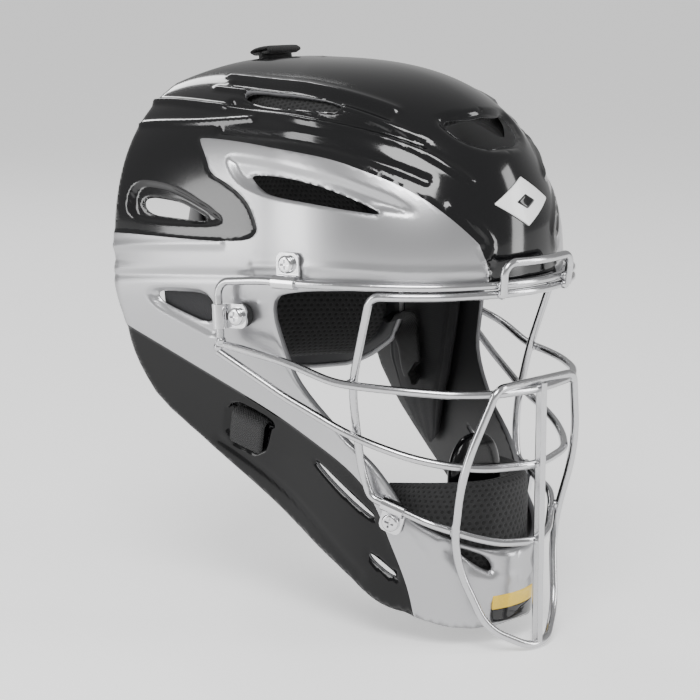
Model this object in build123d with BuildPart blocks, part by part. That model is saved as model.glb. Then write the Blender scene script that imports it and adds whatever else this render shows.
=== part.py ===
"""Hockey-style catcher's mask: a one-piece moulded shell with a bolted wire cage, foam pads,
and a sprung back plate that hangs on a crown strap.

Millimetres, +Z up. The mask faces -Y, the wearer's right is -X, and the origin is the centre
of the wearer's head. Left and right are the wearer's.
"""

import math
import os

from build123d import *

os.makedirs("parts", exist_ok=True)

# ---------------------------------------------------------------- driving dimensions
# Shell, as horizontal sections: half an ellipse in front, flaring straight sides behind it.
TEMPLE_Z = 50.0  # level of the brow, where the sections are largest
DOME_HEIGHT = 103.0  # from the temple level to the crown
CROWN_Y = 20.0  # where the crown is highest
SECTION_CENTRE = -22.0  # y of the middle of a section at the temple
FRONT_REACH = 100.0  # from there to the brow
CHIN_PULL_IN = 4.0  # how much further back the chin is than the brow
REAR_REACH = 144.6  # to where the dome would close behind
TEMPLE_HALF = 78.0  # half-width at the section centre, at the temple
JAW_HALF = 57.0  # the same at the jaw
TEMPLE_FLARE = 0.20  # widening of each side, per mm towards the rear
JAW_FLARE = 0.30
FLARE_SOFTNESS = 25.0
WALL = 3.5
REAR_EDGE_Y = 78.0
UNDERSIDE = 240.0  # depth below the eyes at which the surface closes, under the jaw's cut edge

WIRE = 4.0  # cage wire diameter
CORNER_BEND, GENTLE_BEND = 7.0, 150.0  # largest bend radii at a corner and elsewhere
BAR_WIDE, BAR_DEEP = 3.6, 5.2  # flat centre bar
SHEET = 1.4  # clip sheet metal
SCREW = 5.0  # cage screw diameter
WEBBING_WIDE, WEBBING = 20.0, 1.8
CROWN_WEBBING = 24.0
SIDE_PAD_THICK = 4.6
PLATE = 3.0  # back plate wall
PLATE_PAD = 8.5
PLATE_HALF, PLATE_REACH = 74.5, 100.0  # half-width and rear reach of the back plate from the head's centre

PIVOT_Y, PIVOT_Z = 62.0, 139.0  # the crown strap's fold, which the back plate swings about


# ---------------------------------------------------------------- the shell's outer surface
def smooth_step(t):
    t = min(1.0, max(0.0, t))
    return t * t * (3 - 2 * t)


def dome(z, power):
    """Share of the temple section that is left at a height, from 1 at the temple to 0 at the crown."""
    if z <= TEMPLE_Z:
        return 1.0
    rise = min(1.0, (z - TEMPLE_Z) / DOME_HEIGHT)
    return (1 - rise**power) ** (1 / power)


def section(y, z):
    """Half-width, relative distance from the section's centre, and superellipse power."""
    length, width = dome(z, 2.8), dome(z, 2.5)
    upper = smooth_step((z + 45) / 90)
    half = (JAW_HALF + (TEMPLE_HALF - JAW_HALF) * upper) * width
    flare = (JAW_FLARE + (TEMPLE_FLARE - JAW_FLARE) * upper) * width
    centre = CROWN_Y + (SECTION_CENTRE - CROWN_Y) * length
    along = y - centre
    half += flare * (along + math.hypot(along, FLARE_SOFTNESS)) / 2
    if along < 0:
        reach = (FRONT_REACH - CHIN_PULL_IN * smooth_step((TEMPLE_Z - z) / 60)) * length
        return half, -along / max(reach, 1e-6), 2.1 - 0.3 * smooth_step((z - 60) / 60)
    reach = REAR_REACH * length + 3 * max(0.0, TEMPLE_Z - z)
    return half, along / max(reach, 1e-6), 5.0


def outside(p):
    """Negative inside the shell's outer surface, positive outside it."""
    if p.Z >= TEMPLE_Z + DOME_HEIGHT:
        return 1.0
    half, far, power = section(p.Y, p.Z)
    if half <= 0:
        return 1.0
    below = max(0.0, (40 - p.Z) / UNDERSIDE)
    return far**power + (abs(p.X) / half) ** power + below**8 - 1


def reach(start, ray):
    """Where a ray from inside meets the surface."""
    near, beyond = 5.0, 240.0
    for _ in range(45):
        middle = (near + beyond) / 2
        if outside(start + ray * middle) > 0:
            beyond = middle
        else:
            near = middle
    return start + ray * near


def surface_point(turn, tilt):
    """Point of the surface seen from above the head's centre: tilt is the angle from straight
    ahead, and turn the angle around that axis, from up through the wearer's right to down."""
    t, p = math.radians(turn), math.radians(tilt)
    return reach(Vector(0, 0, 20), Vector(-math.sin(t) * math.sin(p), -math.cos(p), math.cos(t) * math.sin(p)))


def inward(p, depth):
    """A point of the surface moved square into the shell."""
    slope = [
        outside(p + Vector(*step)) - outside(p - Vector(*step)) for step in ((0.5, 0, 0), (0, 0.5, 0), (0, 0, 0.5))
    ]
    return p - Vector(*slope).normalized() * depth


def side_x(y, z):
    """Half-width of the shell at a place on its side."""
    half, far, power = section(y, z)
    return half * max(0.0, 1 - far**power) ** (1 / power)


def normal_at(y, z):
    """Point on the wearer's right side of the shell, and the outward normal there."""
    x, step = side_x(y, z), 0.5
    slope_y = (side_x(y + step, z) - side_x(y - step, z)) / (2 * step)
    slope_z = (side_x(y, z + step) - side_x(y, z - step)) / (2 * step)
    return Vector(-x, y, z), Vector(-1, -slope_y, -slope_z).normalized()


def half_skin(inset):
    """The right half of the surface, moved inwards by inset and running just past the middle."""
    turns, tilts = 17, 13
    grid = [
        [surface_point(-8 + 196 * i / (turns - 1), 12 + 118 * j / (tilts - 1)) for j in range(tilts)]
        for i in range(turns)
    ]
    if inset:
        moved = []
        for i, row in enumerate(grid):
            line = []
            for j, p in enumerate(row):
                across = grid[min(i + 1, turns - 1)][j] - grid[max(i - 1, 0)][j]
                along = row[min(j + 1, tilts - 1)] - row[max(j - 1, 0)]
                line.append(p + across.cross(along).normalized() * inset)
            moved.append(line)
        grid = moved
    return Face.make_surface_from_array_of_points(grid)


def layer(inset, thickness):
    """Both halves of a layer of even thickness that lies inset under the outer surface."""
    with BuildPart() as half:
        thicken(half_skin(inset), amount=thickness)
        split(bisect_by=Plane.YZ, keep=Keep.BOTTOM)
        mirror(about=Plane.YZ)
    return half.part


def mirrored(piece):
    """The same piece on the wearer's left."""
    return piece.mirror(Plane.YZ)


def write(piece, name):
    piece.label = name
    export_step(piece, f"parts/{name}.step")


# ---------------------------------------------------------------- outlines seen from the side (y, z)
SIDE_OUTLINE = [
    (REAR_EDGE_Y, 175), (REAR_EDGE_Y, 57), (75, 36), (70, 18), (69, 5), (65, -8), (57, -23),
    (35, -40), (8, -58), (-26, -82), (-52, -99), (-64, -109), (-73, -114), (-87, -116.5),
    (-112, -123), (-140, -126), (-140, 175),
]  # fmt: skip
EYE_PORT = [
    (-140, 51), (-118, 50), (-91, 49), (-70, 47.5), (-38, 44.5), (-24, 39), (-28, 11), (-31, -6),
    (-52, -30), (-59, -35), (-70, -44), (-80, -58), (-84, -65), (-102, -75), (-118, -81), (-140, -84),
]  # fmt: skip
REAR_VENT = [(60, 84), (37, 83), (30, 81), (17, 76), (18, 74), (36, 74.5), (56, 75)]
LOW_VENT = [(49, 36), (38, 37), (12, 38), (14, 20), (38, 27.5), (47, 31)]
BIG_VENT = [(-4, 100), (-39, 98), (-61, 93), (-72, 89), (-81, 85), (-79, 84), (-57, 86), (-21, 89), (-11, 94)]
CROWN_VENT = [(-53, 20), (-52, -14), (-47, -42), (-52, -45), (-58, -18), (-60, 16)]  # from above (x, y)
SCOOP = [(-25, -84), (-22, -97), (-9, -106), (9, -106), (22, -97), (25, -84), (10, -92), (-10, -92)]
CHIN_VENT = [(-31, -79), (-19, -84), (-14, -92.5), (-18, -93), (-31, -82)]  # from the front (x, z)
JAW_SLOTS = [((-34, -44), (-68, -68)), ((-65, -87), (-79, -97))]
JAW_SLOT_WIDE = 3.2
STRAP_SLOT_AT = (2.5, -25.0)
STRAP_SLOT_TURN = 21.0  # degrees, rising to the rear
CROWN_SLOT_Y = 56.0
SIDE_PAD = [
    (58, -15, 50), (40, -15, 49), (20, -15, 48), (0, -17, 45), (-20, -19, 36), (-38, -17, 19), (-50, -15, 6),
    (-59, -10, -4),
]  # level, front edge y, rear edge y
PLATE_OUTLINE = [(130, -27), (65, -25), (46, -17), (33, -7), (27, 8), (29, 40), (47, 78), (70, 108), (80, 110),
                 (130, 110)]  # fmt: skip
PLATE_PAD_OUTLINE = [(130, -21), (66, -19.5), (49, -12), (38.5, -3.5), (33, 9), (35, 38), (52, 74), (74, 101),
                     (130, 102)]  # fmt: skip
WING_TIP = Vector(-66.5, 17.5, 3.0)  # where a side elastic meets the back plate


# ---------------------------------------------------------------- where the cage is fastened
# Middle of the wire inside each clip on the wearer's right, the wire's direction there, which way
# the clip's tab runs from it, how far off the screw is and how long the clip is.
CLIPS = {
    "top": (Vector(-83.0, -39, 49.7), Vector(-0.19, 1, -0.02), Vector(0, 0, 1), 8.6, 13.0),
    "side": (Vector(-91, -0.115, 29.5), Vector(0, 0.0652, 1), Vector(0, -1, 0), 9.5, 12.0),
    "lower": (Vector(-51.3, -81.5, -59.84), Vector(-10, 30.1, 9.6), Vector(0, 0, -1), 8.3, 12.0),
}
BORE = WIRE / 2 + 0.05


def clip_planes(name):
    """Plane across the wire, plane of the tab's outer face at its screw, and the tab's stand-off."""
    spot, along, towards, reach, _ = CLIPS[name]
    outward = normal_at(spot.Y, spot.Z)[1]
    along = along.normalized()
    up = (outward - along * along.dot(outward)).normalized()
    across = up.cross(along)
    if across.dot(towards) < 0:
        across = -across
    tab = Plane(origin=spot + across * reach - up * (BORE + SHEET), x_dir=across, z_dir=up)
    stand = 0.0
    while outside(tab.origin - up * stand) > 0:
        stand += 0.05
    return Plane(origin=spot, x_dir=across, z_dir=across.cross(up)), tab, stand


# ---------------------------------------------------------------- front shell
ACROSS = Plane.YZ.offset(-130)  # sketches here are seen from the side and cut both sides at once
WIDTH = 260

with BuildPart() as front_shell:
    add(layer(0, WALL))
    with BuildSketch(ACROSS):
        with BuildLine():
            Polyline(*SIDE_OUTLINE, close=True)
        make_face()
    extrude(amount=WIDTH, mode=Mode.INTERSECT)
    with BuildSketch(ACROSS):
        for outline in (EYE_PORT, REAR_VENT, LOW_VENT, BIG_VENT):
            with BuildLine():
                Polyline(*outline, close=True)
            make_face()
        for start, end in JAW_SLOTS:
            run = Vector(*end) - Vector(*start)
            with Locations((Vector(*start) + Vector(*end)) / 2):
                SlotOverall(run.length, JAW_SLOT_WIDE, rotation=math.degrees(math.atan2(run.Y, run.X)))
        with Locations(STRAP_SLOT_AT):
            SlotOverall(WEBBING_WIDE + 5, 5.0, rotation=STRAP_SLOT_TURN)
    extrude(amount=WIDTH, mode=Mode.SUBTRACT)
    with BuildSketch(Plane.XY.offset(95)):
        for outline in (CROWN_VENT, [(-x, y) for x, y in CROWN_VENT], SCOOP):
            with BuildLine():
                Polyline(*outline, close=True)
            make_face()
        with Locations((0, CROWN_SLOT_Y)):
            SlotOverall(WEBBING_WIDE + 5, 4.6)
    extrude(amount=80, mode=Mode.SUBTRACT)
    with BuildSketch(Plane.XZ.offset(80)):
        for outline in (CHIN_VENT, [(-x, z) for x, z in CHIN_VENT]):
            with BuildLine():
                Polyline(*outline, close=True)
            make_face()
    extrude(amount=60, mode=Mode.SUBTRACT)
    for name in CLIPS:
        at, axis = clip_planes(name)[1].origin, clip_planes(name)[1].z_dir
        for side in (1, -1):
            with Locations(Plane(origin=(at.X * side, at.Y, at.Z), z_dir=(axis.X * side, axis.Y, axis.Z))):
                Cylinder(radius=SCREW / 2 + 0.2, height=30, mode=Mode.SUBTRACT)
write(front_shell.part, "front_shell")


# ---------------------------------------------------------------- cage
def both_sides(near):
    """A wire's points, from the wearer's right end through the middle to the left end."""
    return near + [(-x, y, z) for x, y, z in reversed(near) if x]


def bend_radii(points, closed):
    """A gentle bend where the wire hardly turns, and a tight one at each corner."""
    radii, count = [], len(points)
    for i in range(count) if closed else range(1, count - 1):
        before, here, after = (Vector(*points[(i + step) % count]) for step in (-1, 0, 1))
        turn = math.radians((here - before).get_angle(after - here))
        room = 0.42 * min((here - before).length, (after - here).length)
        widest = CORNER_BEND if turn > math.radians(55) else GENTLE_BEND
        radii.append(min(widest, room / math.tan(max(turn, 0.02) / 2)))
    return radii


def bent_wire(points, closed):
    """A round wire along straight runs joined by tangent bends."""
    with BuildPart() as wire:
        with BuildLine() as path:
            FilletPolyline(*points, radius=bend_radii(points, closed), close=closed)
        route = path.wires()[0]
        with BuildSketch(Plane(origin=route @ 0, z_dir=route % 0)):
            Circle(WIRE / 2)
        sweep(path=route)
    return wire.part


BROW = [(-85.85, -24, 49.4), (-80.15, -54, 50.0), (-74, -75, 50.8), (-62, -94.5, 51), (-46, -111.5, 51)]
EYE_END, MOUTH_END = (-90, 2.5, 15.9), (-89.5, 2.8, 11.3)
outer_points = both_sides([(-91, -0.8, 19), (-91, 1, 46.6)] + BROW + [(-23, -122.8, 51), (0, -126.5, 51)])
inner_near = [
    (0, -126.8, 46.7), (-23, -123, 46.6), (-46, -111.6, 46.5), (-62, -94.7, 46.4), (-69, -82, 46.2),
    (-65.8, -66.9, 0.6), (-60, -65, -26), (-57.5, -65.8, -43), (-55.3, -69.46, -56), (-45.3, -99.56, -65.6),
    (-38, -107, -69), (-29, -113.5, -73), (-18, -121.5, -76.3), (0, -130, -77),
]  # fmt: skip
inner_points = inner_near + [(-x, y, z) for x, y, z in reversed(inner_near[1:-1])]
eye_points = both_sides([
    EYE_END, (-80, -36, 10), (-72.2, -61, 2.1), (-66, -79, 1.5), (-58, -95.5, 1), (-46, -113, 0),
    (-30, -125, -0.5), (0, -130, -1),
])  # fmt: skip
mouth_points = both_sides([
    MOUTH_END, (-78, -32, -8), (-67.6, -62.8, -22.4), (-63, -78, -27), (-55, -95, -32), (-44, -109, -35.5),
    (-30, -121, -37.5), (0, -130, -38.6),
])  # fmt: skip
throat_near = [(-28.4, -127, 2.4), (-43, -118, -38), (-37.7, -108, -82), (-25.7, -120, -118.5), (-7, -131, -129)]
throat_points = throat_near + [(-x, y, z) for x, y, z in reversed(throat_near)]
staple_points = [(-23.5, -125.6, 47), (-24.5, -127, 62), (0, -131.5, 62), (24.5, -127, 62), (23.5, -125.6, 47)]

WIRES = {
    "outer_frame_wire": (outer_points, False),
    "inner_loop_wire": (inner_points, True),
    "eye_bar": (eye_points, False),
    "mouth_bar": (mouth_points, False),
    "throat_loop": (throat_points, True),
    "brow_staple": (staple_points, False),
}
for name, (points, closed) in WIRES.items():
    write(bent_wire(points, closed), name)

with BuildPart() as centre_bar:
    with BuildSketch(Plane.XY.offset(2)):
        with Locations((0, -130.4)):
            RectangleRounded(BAR_WIDE, BAR_DEEP, 1.2)
    extrude(amount=-131)
write(centre_bar.part, "centre_bar")


# ---------------------------------------------------------------- clips, screws, nuts, spacers
def clip(name):
    """Sheet saddle: a sleeve round the wire and a flat tab under the screw."""
    profile, tab, _ = clip_planes(name)
    reach, long = CLIPS[name][3:]
    with BuildPart() as saddle:
        with BuildSketch(profile):
            Circle(BORE + SHEET)
            with Locations(((reach + 5.5) / 2, -BORE - SHEET / 2)):
                Rectangle(reach + 5.5, SHEET)
        extrude(amount=long / 2, both=True)
        corners = saddle.edges().filter_by(Axis(tab.origin, tab.z_dir))
        fillet(corners.sort_by_distance(tab.origin + tab.x_dir * 20)[:2], 3.5)
        with BuildSketch(profile):
            Circle(BORE)
        extrude(amount=long / 2 + 1, both=True, mode=Mode.SUBTRACT)
        with Locations(tab):
            Cylinder(radius=SCREW / 2 + 0.1, height=6, mode=Mode.SUBTRACT)
    return saddle.part


def screw(name):
    """Pan-head machine screw with a cross recess, its head on the clip's tab."""
    _, tab, stand = clip_planes(name)
    head = tab.offset(SHEET)
    with BuildPart() as body:
        with BuildSketch(head):
            Circle(4.5)
        extrude(amount=2.6)
        fillet(body.edges().filter_by(GeomType.CIRCLE).sort_by_distance(head.origin + head.z_dir * 9)[0], 1.6)
        with BuildSketch(head.offset(0.2)):
            Circle(SCREW / 2)
        extrude(amount=-(SHEET + stand + WALL + 5.4))
        with BuildSketch(head.offset(2.7)):
            Rectangle(5.0, 1.1)
            Rectangle(1.1, 5.0)
        extrude(amount=-1.4, mode=Mode.SUBTRACT)
    return body.part


def tee_nut(name):
    """Threaded barrel and round flange on the inside of the shell."""
    _, tab, stand = clip_planes(name)
    inside = Plane(origin=tab.origin - tab.z_dir * (stand + WALL + 1.5), z_dir=-tab.z_dir)
    with BuildPart() as nut:
        with BuildSketch(inside):
            Circle(5.5)
        extrude(amount=0.9)
        with BuildSketch(inside):
            Circle(3.6)
        extrude(amount=3.2)
        with BuildSketch(inside.offset(-1)):
            Circle(SCREW / 2 + 0.02)
        extrude(amount=8, mode=Mode.SUBTRACT)
    return nut.part


for name in CLIPS:
    write(clip(name), f"{name}_clip_right")
    write(mirrored(clip(name)), f"{name}_clip_left")
for label, maker in (("cage_screws", screw), ("tee_nuts", tee_nut)):
    with BuildPart() as group:
        for name in CLIPS:
            add(maker(name))
        mirror(about=Plane.YZ)
    write(group.part, label)

_, tab, stand = clip_planes("side")
with BuildPart() as rubber_spacers:
    with BuildSketch(tab.offset(-0.2)):
        Circle(6.0)
        Circle(SCREW / 2 + 0.15, mode=Mode.SUBTRACT)
    extrude(amount=1.5 - stand)
    mirror(about=Plane.YZ)
write(rubber_spacers.part, "rubber_spacers")


# ---------------------------------------------------------------- straps
def webbing(plane, points, wide, thick=WEBBING):
    """A flat strap following a line drawn on a plane, its width square to the plane."""
    with BuildPart() as strap:
        with BuildSketch(plane):
            with BuildLine():
                Polyline(*points)
                offset(amount=thick / 2)
            make_face()
        extrude(amount=wide / 2, both=True)
    return strap.part


top = 120.0
while outside(Vector(0, CROWN_SLOT_Y, top)) < 0:
    top += 0.1
with BuildPart() as crown_strap:
    with BuildSketch(Plane.YZ):
        with Locations((CROWN_SLOT_Y, (top + PIVOT_Z + 4) / 2)):
            Rectangle(WEBBING, top - PIVOT_Z + 4)
        with Locations((CROWN_SLOT_Y, top + 4.2)):
            RectangleRounded(14, 5.6, 2.2, rotation=-18)
    extrude(amount=CROWN_WEBBING / 2, both=True)
write(crown_strap.part, "crown_strap")
write(webbing(Plane.YZ, [(PIVOT_Y, PIVOT_Z), (71.5, 125), (81.6, 110.5), (87.8, 100.8), (93.4, 89)], CROWN_WEBBING),
      "plate_strap")

slot_y, slot_z = STRAP_SLOT_AT
point, outward = normal_at(slot_y, slot_z)
lengthwise = Vector(0, math.cos(math.radians(STRAP_SLOT_TURN)), math.sin(math.radians(STRAP_SLOT_TURN)))
lengthwise = (lengthwise - outward * outward.dot(lengthwise)).normalized()
strap_plane = Plane(origin=point, x_dir=outward.cross(lengthwise), z_dir=lengthwise)
side_strap = webbing(strap_plane, [(0, -10), (0, 3.0), (19, 3.0)], WEBBING_WIDE)
write(side_strap, "side_strap_right")
write(mirrored(side_strap), "side_strap_left")

start = strap_plane.origin - outward * 14.5
run = WING_TIP - start
elastic = webbing(Plane(origin=start, x_dir=run, z_dir=run.cross(outward)), [(1.2, 0), (run.length - 1.2, 0)],
                  WEBBING_WIDE, 1.5)
write(elastic, "side_elastic_right")
write(mirrored(elastic), "side_elastic_left")


# ---------------------------------------------------------------- pads
def level_row(centre_y, z, half_angle, count=9):
    """Points of the surface at one level, fanned evenly to both sides of straight ahead."""
    turns = [math.radians(half_angle * (2 * i / (count - 1) - 1)) for i in range(count)]
    return [reach(Vector(0, centre_y, z), Vector(-math.sin(t), -math.cos(t), 0)) for t in turns]


def foam(rows, thickness, pockets=(), clear=1.2):
    """A foam layer under a patch of the surface, hollowed where it goes over nuts."""
    face = Face.make_surface_from_array_of_points([[inward(p, WALL + clear) for p in row] for row in rows])
    middle = face.center()
    facing = (Vector(0, 0, 20) - middle).dot(face.normal_at(middle))
    with BuildPart() as block:
        thicken(face, amount=math.copysign(thickness, facing))
        for name, side in pockets:
            _, tab, stand = clip_planes(name)
            at, axis = tab.origin - tab.z_dir * (stand + WALL + 6.6), tab.z_dir
            with Locations(Plane(origin=(at.X * side, at.Y, at.Z), z_dir=(axis.X * side, axis.Y, axis.Z))):
                Cylinder(radius=6.5, height=14, align=(Align.CENTER, Align.CENTER, Align.MIN), mode=Mode.SUBTRACT)
    return block.part


write(foam([level_row(-20, z, 54 - 0.25 * (z - 57)) for z in (57, 65, 73, 81, 90)], 9), "brow_pad")
write(foam([level_row(-40, z, 66) for z in (-97, -85, -73, -61, -49)], 11, [("lower", 1), ("lower", -1)], 2.6),
      "chin_pad")
write(foam([[surface_point(turn, tilt) for turn in range(-28, 29, 7)] for tilt in range(52, 107, 9)], 9),
      "crown_pad")

side_rows = []
for z, front, rear in SIDE_PAD:
    side_rows.append([Vector(-side_x(y, z), y, z) for y in [front + (rear - front) * i / 6 for i in range(7)]])
with BuildPart() as side_pad_right:
    add(foam(side_rows, SIDE_PAD_THICK, [("side", 1)]))
    with BuildSketch(ACROSS):
        with Locations(STRAP_SLOT_AT):
            SlotOverall(WEBBING_WIDE + 8, 8, rotation=STRAP_SLOT_TURN)
    extrude(amount=130, mode=Mode.SUBTRACT)
write(side_pad_right.part, "side_pad_right")
write(mirrored(side_pad_right.part), "side_pad_left")

with BuildPart() as chin_cup:
    with BuildSketch(Plane.XZ.offset(83.5)):
        with Locations((0, -54)):
            RectangleRounded(36, 48, 17)
    extrude(amount=8.5)
    fillet(chin_cup.edges().group_by(Axis.Y)[0] + chin_cup.edges().group_by(Axis.Y)[-1], 2.5)
write(chin_cup.part, "chin_cup")


# ---------------------------------------------------------------- back plate
def plate_face(inset):
    """A shallow bowl behind the head, hung clear inside the shell's sides."""
    rows = []
    for i in range(9):
        z = -34 + 18.5 * i
        rise = max(0.0, (z - 30) / 110)
        size = (1 - rise**2.5) ** (1 / 2.5)
        turns = [math.radians(-84 + 12 * j) for j in range(15)]
        rows.append([
            Vector((PLATE_HALF * size - inset) * math.sin(t), (PLATE_REACH * size - inset) * math.cos(t), z)
            for t in turns
        ])  # fmt: skip
    return Face.make_surface_from_array_of_points(rows)


for name, outline, inset, thick in (
    ("back_plate", PLATE_OUTLINE, 0, PLATE),
    ("back_plate_pad", PLATE_PAD_OUTLINE, PLATE + 1.4, PLATE_PAD),
):
    face = plate_face(inset)
    inward = 1 if face.normal_at(face.center()).Y < 0 else -1
    with BuildPart() as bowl:
        thicken(face, amount=inward * thick)
        with BuildSketch(ACROSS):
            with BuildLine():
                Polyline(*outline, close=True)
            make_face()
        extrude(amount=WIDTH, mode=Mode.INTERSECT)
    write(bowl.part, name)
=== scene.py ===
import math

import bmesh
import bpy
import numpy as np
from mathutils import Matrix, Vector
from mathutils.geometry import delaunay_2d_cdt


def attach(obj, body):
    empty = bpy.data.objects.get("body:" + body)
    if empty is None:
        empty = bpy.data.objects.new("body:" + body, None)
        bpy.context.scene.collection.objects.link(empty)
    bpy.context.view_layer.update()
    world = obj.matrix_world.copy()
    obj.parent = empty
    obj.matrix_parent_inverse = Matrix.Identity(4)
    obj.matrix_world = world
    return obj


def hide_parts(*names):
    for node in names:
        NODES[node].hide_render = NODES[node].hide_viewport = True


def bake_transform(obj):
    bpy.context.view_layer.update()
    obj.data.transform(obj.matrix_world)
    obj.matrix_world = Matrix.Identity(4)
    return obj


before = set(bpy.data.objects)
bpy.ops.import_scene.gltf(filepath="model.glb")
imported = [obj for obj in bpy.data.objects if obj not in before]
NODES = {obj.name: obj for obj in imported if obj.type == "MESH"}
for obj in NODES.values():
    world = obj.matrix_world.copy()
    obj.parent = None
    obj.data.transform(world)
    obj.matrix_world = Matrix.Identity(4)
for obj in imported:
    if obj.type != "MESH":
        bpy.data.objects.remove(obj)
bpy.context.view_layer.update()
MM = 0.001
HUB = np.array([0.0, 0.0, 20.0])  # where the map's rays start, inside the head
LONG = 1e9  # further than any distance measured here
WALL = 3.5  # shell thickness
DOME_BASE, DOME_HEIGHT = 50, 103  # the crown's rounding starts here and is this tall
DOME_TOP = DOME_BASE + DOME_HEIGHT
BROW_REACH, REAR_REACH = 100, 144.6  # section reach ahead of and behind its widest part
FLARE_SOFTNESS = 25
UNDERSIDE = 240  # depth below the eyes at which the surface closes
MIRROR = np.array([-1, 1, 1])
STRAP_TURN = math.radians(21)  # slope of the jaw slots for the side straps


# ------------------------------------------------------------------ the shell's surface, in millimetres
def smooth(t):
    t = np.clip(t, 0, 1)
    return t * t * (3 - 2 * t)


def dome(z, power):
    rise = np.clip((z - DOME_BASE) / DOME_HEIGHT, 0, 1)
    return (1 - rise**power) ** (1 / power)


def section(y, z):
    length, width = dome(z, 2.8), dome(z, 2.5)
    upper = smooth((z + 45) / 90)
    half = (57 + 21 * upper) * width
    flare = (0.30 - 0.10 * upper) * width
    centre = 20 - 42 * length
    along = y - centre
    half = half + flare * (along + np.hypot(along, FLARE_SOFTNESS)) / 2
    ahead_reach = (BROW_REACH - 4 * smooth((DOME_BASE - z) / 60)) * length
    behind_reach = REAR_REACH * length + 3 * np.maximum(0, DOME_BASE - z)
    reach = np.where(along < 0, ahead_reach, behind_reach)
    power = np.where(along < 0, 2.1 - 0.3 * smooth((z - 60) / 60), 5.0)
    return half, np.abs(along) / np.maximum(reach, 1e-6), power


def outside(p):
    x, y, z = np.moveaxis(np.asarray(p, float), -1, 0)
    half, far, power = section(y, z)
    floor_term = np.maximum(0, (40 - z) / UNDERSIDE) ** 8
    value = far**power + (np.abs(x) / np.maximum(half, 1e-6)) ** power + floor_term - 1
    return np.where((z >= DOME_TOP) | (half <= 0), 1.0, value)


def hit(start, ray):
    """Where rays from inside meet the surface."""
    start, ray = np.broadcast_arrays(np.asarray(start, float), np.asarray(ray, float))
    near, far = np.full(ray.shape[:-1], 2.0), np.full(ray.shape[:-1], 260.0)
    for _ in range(40):
        mid = (near + far) / 2
        out = outside(start + ray * mid[..., None]) > 0
        far, near = np.where(out, mid, far), np.where(out, near, mid)
    return start + ray * near[..., None]


def normals(p):
    step = np.eye(3) * 0.4
    g = np.stack([outside(p + s) - outside(p - s) for s in step], -1)
    return g / np.linalg.norm(g, axis=-1, keepdims=True)


def side_x(y, z):
    half, far, power = section(np.asarray(y, float), np.asarray(z, float))
    return half * np.maximum(0, 1 - far**power) ** (1 / power)


def to_map(p):
    """A point as (a, b): degrees from straight ahead of the hub, to the wearer's left and up."""
    d = np.asarray(p, float) - HUB
    d /= np.linalg.norm(d, axis=-1, keepdims=True)
    tilt = np.degrees(np.arccos(np.clip(-d[..., 1], -1, 1)))
    turn = np.arctan2(-d[..., 0], d[..., 2])
    return np.stack([-tilt * np.sin(turn), tilt * np.cos(turn)], -1)


def from_map(ab):
    a, b = ab[..., 0], ab[..., 1]
    tilt, turn = np.radians(np.hypot(a, b)), np.arctan2(-a, b)
    ray = np.stack([-np.sin(turn) * np.sin(tilt), -np.cos(tilt), np.cos(turn) * np.sin(tilt)], -1)
    return hit(HUB, ray)


def side(points):
    """(y, z) outline on the wearer's right, as points of the surface."""
    y, z = np.array(points, float).T
    return np.stack([-side_x(y, z), y, z], -1)


def above(points):
    x, y = np.array(points, float).T
    start = np.stack([x, y, np.full_like(x, 60)], -1)
    return hit(start, np.array([0, 0, 1.0]))


def ahead(points):
    x, z = np.array(points, float).T
    start = np.stack([x, np.full_like(x, -50), z], -1)
    return hit(start, np.array([0, -1.0, 0]))


def rounded(points, closed, rounds=2):
    p = np.asarray(points, float)
    for _ in range(rounds):
        q = np.roll(p, -1, 0) if closed else p[1:]
        p0 = p if closed else p[:-1]
        cut = np.stack([p0 * 0.75 + q * 0.25, p0 * 0.25 + q * 0.75], 1).reshape(-1, p.shape[1])
        p = cut if closed else np.concatenate([p[:1], cut[1:-1], p[-1:]])
    return p


def spaced(points, closed, step=1.6):
    p = np.asarray(points, float)
    if closed:
        p = np.concatenate([p, p[:1]])
    run = np.concatenate([[0], np.cumsum(np.linalg.norm(np.diff(p, axis=0), axis=1))])
    count = max(3, int(round(run[-1] / step)))
    at = np.linspace(0, run[-1], count + 1)[: count if closed else count + 1]
    return np.stack([np.interp(at, run, p[:, k]) for k in range(p.shape[1])], -1)


def on_shell(points, closed=False, rounds=2):
    """A smoothed line lying on the surface, and the same line on the map."""
    line = spaced(rounded(points, closed, rounds), closed)
    flat = to_map(line)
    return from_map(flat), flat


def inside(flat, polygon):
    x, y = flat[:, 0][:, None], flat[:, 1][:, None]
    px, py = polygon[:, 0], polygon[:, 1]
    qx, qy = np.roll(px, -1), np.roll(py, -1)
    crosses = (py > y) != (qy > y)
    with np.errstate(divide="ignore", invalid="ignore"):
        at = px + (y - py) * (qx - px) / (qy - py)
    return (np.sum(crosses & (x < at), 1) % 2) == 1


def distance(p, line, closed=False):
    """Distance from each point to a line, in millimetres."""
    a, b = line, np.roll(line, -1, 0)
    if not closed:
        a, b = a[:-1], b[:-1]
    best = np.full(len(p), LONG)
    for s, e in zip(a, b):
        d = e - s
        t = np.clip(((p - s) @ d) / max(d @ d, 1e-9), 0, 1)
        best = np.minimum(best, np.linalg.norm(p - s - t[:, None] * d, axis=1))
    return best


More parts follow.
